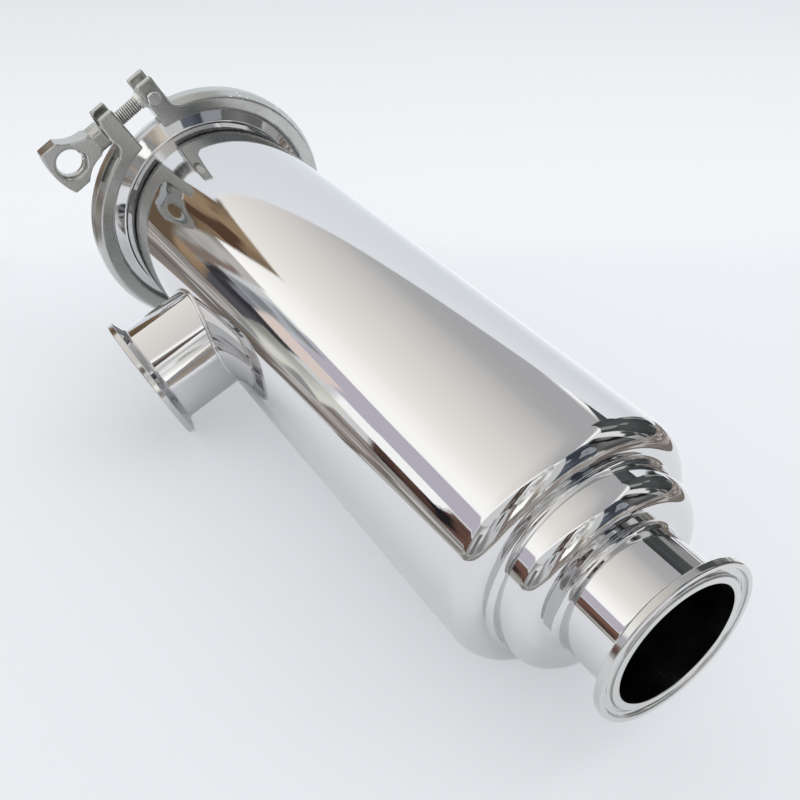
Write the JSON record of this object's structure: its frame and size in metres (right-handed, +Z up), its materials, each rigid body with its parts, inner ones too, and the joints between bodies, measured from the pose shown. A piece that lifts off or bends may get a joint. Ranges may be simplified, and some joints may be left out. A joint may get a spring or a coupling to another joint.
{
  "type": "angle pipeline strainer",
  "caption": "Polished stainless angle strainer: stepped outlet in line, clamp ferrule ports, side inlet, and a blind end cap held by a hinged clamp with a wing nut.",
  "frame": {"origin": "centre of the outlet's gasket face", "axes": "+Z up as the part lies at rest, +X the horizontal way that the outlet points, the inlet towards -Y"},
  "size_m": [0.366, 0.1552, 0.1464],
  "materials": {
    "polished_stainless": "mirror-polished stainless steel",
    "cast_stainless": "satin investment-cast stainless steel",
    "turned_stainless": "turned and threaded stainless steel",
    "screen_stainless": "mill-finish stainless sheet and mesh",
    "seal_rubber": "matt moulded rubber"
  },
  "bodies": {
    "housing": {"outlet_ferrule": "polished_stainless", "stepped_reducer": "polished_stainless", "body_tube": "polished_stainless", "branch_tube": "polished_stainless", "inlet_ferrule": "polished_stainless", "body_ferrule": "polished_stainless", "end_cap": "polished_stainless", "cap_gasket": "seal_rubber", "clamp_half_nut": "cast_stainless", "clamp_half_pivot": "cast_stainless", "hinge_pin": "turned_stainless", "swing_pin": "turned_stainless", "seat_ring": "screen_stainless", "seat_seal": "seal_rubber", "screen_tube": "screen_stainless", "mesh_sleeve": "screen_stainless", "outlet_band": "screen_stainless", "cap_band": "screen_stainless", "end_plate": "screen_stainless", "pull_handle": "screen_stainless"},
    "bolt": {"swing_bolt": "turned_stainless"},
    "nut": {"wing_nut": "cast_stainless"}
  },
  "joints": [
    {"name": "bolt_swing", "type": "hinge", "parent": "housing", "child": "bolt", "pos_m": [-0.34844, -0.02617, 0.08719], "axis": [-0.9986, 0, 0.052], "range_deg": [0, 180]},
    {"name": "wing_nut_turn", "type": "hinge", "parent": "bolt", "child": "nut", "pos_m": [-0.34921, -0.05187, 0.07234], "axis": [-0.026, -0.8655, -0.5003], "continuous": true}
  ]
}
